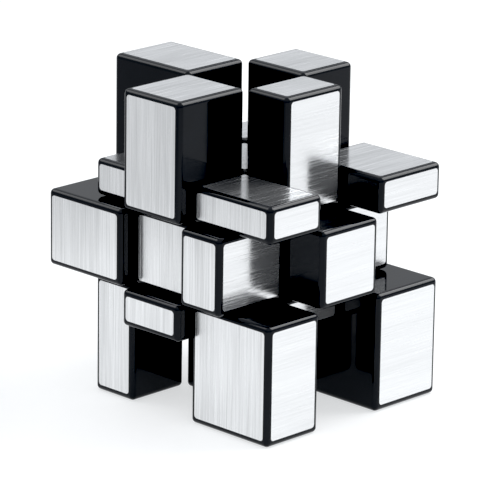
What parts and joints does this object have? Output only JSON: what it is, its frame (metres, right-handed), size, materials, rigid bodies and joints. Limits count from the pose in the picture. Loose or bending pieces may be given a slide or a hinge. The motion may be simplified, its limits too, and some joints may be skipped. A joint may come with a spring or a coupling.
{
  "type": "mirror block puzzle",
  "caption": "Twisty puzzle of glossy black blocks of unequal thickness with brushed silver foils, in its checkered arrangement. Every face turns.",
  "frame": {"origin": "middle of the core, where the three turning axes cross, which is also the middle of the overall box", "axes": "+X right, -Y front, +Z top; every turning axis is a row axis; height along Z is the longest extent, depth along Y the shortest"},
  "size_m": [0.069, 0.061, 0.077],
  "materials": {
    "black_plastic": "polished black moulding, sharp reflections",
    "silver_foil": "thin adhesive foil, brushed silver, fine straight grain",
    "foot_plastic": "satin black moulding",
    "core_plastic": "satin white moulding",
    "steel": "zinc-plated screws and washers, bright spring wire"
  },
  "bodies": {
    "core": {"core_spider": "core_plastic", "axle_screws": "steel"},
    "right_face": {"spring_right": "steel"},
    "right_centre": {"centre_right_base": "foot_plastic", "centre_right_cap": "black_plastic"},
    "back_face": {"spring_back": "steel"},
    "back_centre": {"centre_back_base": "foot_plastic", "centre_back_cap": "black_plastic"},
    "top_face": {"spring_top": "steel"},
    "top_centre": {"centre_top_base": "foot_plastic", "centre_top_cap": "black_plastic"},
    "bottom_face": {"spring_bottom": "steel"},
    "bottom_centre": {"centre_bottom_base": "foot_plastic", "centre_bottom_cap": "black_plastic"},
    "front_face": {"spring_front": "steel"},
    "front_centre": {"centre_front_base": "foot_plastic", "centre_front_cap": "black_plastic"},
    "left_face": {"spring_left": "steel"},
    "left_centre": {"centre_left_base": "foot_plastic", "centre_left_cap": "black_plastic"},
    "edge_back_right": {"edge_back_right_shell": "black_plastic", "edge_back_right_foot": "foot_plastic"},
    "edge_top_right": {"edge_top_right_shell": "black_plastic", "edge_top_right_foot": "foot_plastic"},
    "edge_bottom_right": {"edge_bottom_right_shell": "black_plastic", "edge_bottom_right_foot": "foot_plastic"},
    "edge_front_right": {"edge_front_right_shell": "black_plastic", "edge_front_right_foot": "foot_plastic"},
    "edge_top_back": {"edge_top_back_shell": "black_plastic", "edge_top_back_foot": "foot_plastic"},
    "edge_bottom_back": {"edge_bottom_back_shell": "black_plastic", "edge_bottom_back_foot": "foot_plastic"},
    "edge_top_front": {"edge_top_front_shell": "black_plastic", "edge_top_front_foot": "foot_plastic"},
    "edge_bottom_front": {"edge_bottom_front_shell": "black_plastic", "edge_bottom_front_foot": "foot_plastic"},
    "edge_back_left": {"edge_back_left_shell": "black_plastic", "edge_back_left_foot": "foot_plastic"},
    "edge_top_left": {"edge_top_left_shell": "black_plastic", "edge_top_left_foot": "foot_plastic"},
    "edge_bottom_left": {"edge_bottom_left_shell": "black_plastic", "edge_bottom_left_foot": "foot_plastic"},
    "edge_front_left": {"edge_front_left_shell": "black_plastic", "edge_front_left_foot": "foot_plastic"},
    "corner_top_back_right": {"corner_top_back_right_shell": "black_plastic", "corner_top_back_right_foot": "foot_plastic"},
    "corner_bottom_back_right": {"corner_bottom_back_right_shell": "black_plastic", "corner_bottom_back_right_foot": "foot_plastic"},
    "corner_top_front_right": {"corner_top_front_right_shell": "black_plastic", "corner_top_front_right_foot": "foot_plastic"},
    "corner_bottom_front_right": {"corner_bottom_front_right_shell": "black_plastic", "corner_bottom_front_right_foot": "foot_plastic"},
    "corner_top_back_left": {"corner_top_back_left_shell": "black_plastic", "corner_top_back_left_foot": "foot_plastic"},
    "corner_bottom_back_left": {"corner_bottom_back_left_shell": "black_plastic", "corner_bottom_back_left_foot": "foot_plastic"},
    "corner_top_front_left": {"corner_top_front_left_shell": "black_plastic", "corner_top_front_left_foot": "foot_plastic"},
    "corner_bottom_front_left": {"corner_bottom_front_left_shell": "black_plastic", "corner_bottom_front_left_foot": "foot_plastic"}
  },
  "joints": [
    {"name": "right_turn", "type": "hinge", "parent": "core", "child": "right_face", "pos_m": [0, 0, 0], "axis": [1, 0, 0], "continuous": true},
    {"name": "right_lift", "type": "slide", "parent": "right_face", "child": "right_centre", "axis": [1, 0, 0], "range_m": [0, 0.0005], "stiffness_N_per_m": 500, "springref_m": -0.002, "deforming": ["spring_right"]},
    {"name": "back_turn", "type": "hinge", "parent": "core", "child": "back_face", "pos_m": [0, 0, 0], "axis": [0, 1, 0], "continuous": true},
    {"name": "back_lift", "type": "slide", "parent": "back_face", "child": "back_centre", "axis": [0, 1, 0], "range_m": [0, 0.0005], "stiffness_N_per_m": 500, "springref_m": -0.002, "deforming": ["spring_back"]},
    {"name": "top_turn", "type": "hinge", "parent": "core", "child": "top_face", "pos_m": [0, 0, 0], "axis": [0, 0, 1], "continuous": true},
    {"name": "top_lift", "type": "slide", "parent": "top_face", "child": "top_centre", "axis": [0, 0, 1], "range_m": [0, 0.0005], "stiffness_N_per_m": 500, "springref_m": -0.002, "deforming": ["spring_top"]},
    {"name": "bottom_turn", "type": "hinge", "parent": "core", "child": "bottom_face", "pos_m": [0, 0, 0], "axis": [0, 0, 1], "continuous": true},
    {"name": "bottom_lift", "type": "slide", "parent": "bottom_face", "child": "bottom_centre", "axis": [0, 0, -1], "range_m": [0, 0.0005], "stiffness_N_per_m": 500, "springref_m": -0.002, "deforming": ["spring_bottom"]},
    {"name": "front_turn", "type": "hinge", "parent": "core", "child": "front_face", "pos_m": [0, 0, 0], "axis": [0, 1, 0], "continuous": true},
    {"name": "front_lift", "type": "slide", "parent": "front_face", "child": "front_centre", "axis": [0, -1, 0], "range_m": [0, 0.0005], "stiffness_N_per_m": 500, "springref_m": -0.002, "deforming": ["spring_front"]},
    {"name": "left_turn", "type": "hinge", "parent": "core", "child": "left_face", "pos_m": [0, 0, 0], "axis": [1, 0, 0], "continuous": true},
    {"name": "left_lift", "type": "slide", "parent": "left_face", "child": "left_centre", "axis": [-1, 0, 0], "range_m": [0, 0.0005], "stiffness_N_per_m": 500, "springref_m": -0.002, "deforming": ["spring_left"]},
    {"name": "edge_back_right_follow", "type": "hinge", "parent": "right_face", "child": "edge_back_right", "pos_m": [0, 0, 0], "axis": [0, 1, 0], "continuous": true},
    {"name": "edge_top_right_follow", "type": "hinge", "parent": "top_face", "child": "edge_top_right", "pos_m": [0, 0, 0], "axis": [1, 0, 0], "continuous": true},
    {"name": "edge_bottom_right_follow", "type": "hinge", "parent": "bottom_face", "child": "edge_bottom_right", "pos_m": [0, 0, 0], "axis": [1, 0, 0], "continuous": true},
    {"name": "edge_front_right_follow", "type": "hinge", "parent": "right_face", "child": "edge_front_right", "pos_m": [0, 0, 0], "axis": [0, 1, 0], "continuous": true},
    {"name": "edge_top_back_follow", "type": "hinge", "parent": "back_face", "child": "edge_top_back", "pos_m": [0, 0, 0], "axis": [0, 0, 1], "continuous": true},
    {"name": "edge_bottom_back_follow", "type": "hinge", "parent": "back_face", "child": "edge_bottom_back", "pos_m": [0, 0, 0], "axis": [0, 0, 1], "continuous": true},
    {"name": "edge_top_front_follow", "type": "hinge", "parent": "front_face", "child": "edge_top_front", "pos_m": [0, 0, 0], "axis": [0, 0, 1], "continuous": true},
    {"name": "edge_bottom_front_follow", "type": "hinge", "parent": "front_face", "child": "edge_bottom_front", "pos_m": [0, 0, 0], "axis": [0, 0, 1], "continuous": true},
    {"name": "edge_back_left_follow", "type": "hinge", "parent": "left_face", "child": "edge_back_left", "pos_m": [0, 0, 0], "axis": [0, 1, 0], "continuous": true},
    {"name": "edge_top_left_follow", "type": "hinge", "parent": "top_face", "child": "edge_top_left", "pos_m": [0, 0, 0], "axis": [1, 0, 0], "continuous": true},
    {"name": "edge_bottom_left_follow", "type": "hinge", "parent": "bottom_face", "child": "edge_bottom_left", "pos_m": [0, 0, 0], "axis": [1, 0, 0], "continuous": true},
    {"name": "edge_front_left_follow", "type": "hinge", "parent": "left_face", "child": "edge_front_left", "pos_m": [0, 0, 0], "axis": [0, 1, 0], "continuous": true},
    {"name": "corner_top_back_right_follow", "type": "hinge", "parent": "edge_top_right", "child": "corner_top_back_right", "pos_m": [0, 0, 0], "axis": [0, 1, 0], "continuous": true},
    {"name": "corner_bottom_back_right_follow", "type": "hinge", "parent": "edge_bottom_right", "child": "corner_bottom_back_right", "pos_m": [0, 0, 0], "axis": [0, 1, 0], "continuous": true},
    {"name": "corner_top_front_right_follow", "type": "hinge", "parent": "edge_top_right", "child": "corner_top_front_right", "pos_m": [0, 0, 0], "axis": [0, 1, 0], "continuous": true},
    {"name": "corner_bottom_front_right_follow", "type": "hinge", "parent": "edge_bottom_right", "child": "corner_bottom_front_right", "pos_m": [0, 0, 0], "axis": [0, 1, 0], "continuous": true},
    {"name": "corner_top_back_left_follow", "type": "hinge", "parent": "edge_top_left", "child": "corner_top_back_left", "pos_m": [0, 0, 0], "axis": [0, 1, 0], "continuous": true},
    {"name": "corner_bottom_back_left_follow", "type": "hinge", "parent": "edge_bottom_left", "child": "corner_bottom_back_left", "pos_m": [0, 0, 0], "axis": [0, 1, 0], "continuous": true},
    {"name": "corner_top_front_left_follow", "type": "hinge", "parent": "edge_top_left", "child": "corner_top_front_left", "pos_m": [0, 0, 0], "axis": [0, 1, 0], "continuous": true},
    {"name": "corner_bottom_front_left_follow", "type": "hinge", "parent": "edge_bottom_left", "child": "corner_bottom_front_left", "pos_m": [0, 0, 0], "axis": [0, 1, 0], "continuous": true}
  ],
  "couplings": [
    {"joint": "edge_back_right_follow", "follows": "back_turn", "ratio": 1},
    {"joint": "edge_top_right_follow", "follows": "right_turn", "ratio": 1},
    {"joint": "edge_bottom_right_follow", "follows": "right_turn", "ratio": 1},
    {"joint": "edge_front_right_follow", "follows": "front_turn", "ratio": 1},
    {"joint": "edge_top_back_follow", "follows": "top_turn", "ratio": 1},
    {"joint": "edge_bottom_back_follow", "follows": "bottom_turn", "ratio": 1},
    {"joint": "edge_top_front_follow", "follows": "top_turn", "ratio": 1},
    {"joint": "edge_bottom_front_follow", "follows": "bottom_turn", "ratio": 1},
    {"joint": "edge_back_left_follow", "follows": "back_turn", "ratio": 1},
    {"joint": "edge_top_left_follow", "follows": "left_turn", "ratio": 1},
    {"joint": "edge_bottom_left_follow", "follows": "left_turn", "ratio": 1},
    {"joint": "edge_front_left_follow", "follows": "front_turn", "ratio": 1},
    {"joint": "corner_top_back_right_follow", "follows": "back_turn", "ratio": 1},
    {"joint": "corner_bottom_back_right_follow", "follows": "back_turn", "ratio": 1},
    {"joint": "corner_top_front_right_follow", "follows": "front_turn", "ratio": 1},
    {"joint": "corner_bottom_front_right_follow", "follows": "front_turn", "ratio": 1},
    {"joint": "corner_top_back_left_follow", "follows": "back_turn", "ratio": 1},
    {"joint": "corner_bottom_back_left_follow", "follows": "back_turn", "ratio": 1},
    {"joint": "corner_top_front_left_follow", "follows": "front_turn", "ratio": 1},
    {"joint": "corner_bottom_front_left_follow", "follows": "front_turn", "ratio": 1}
  ]
}
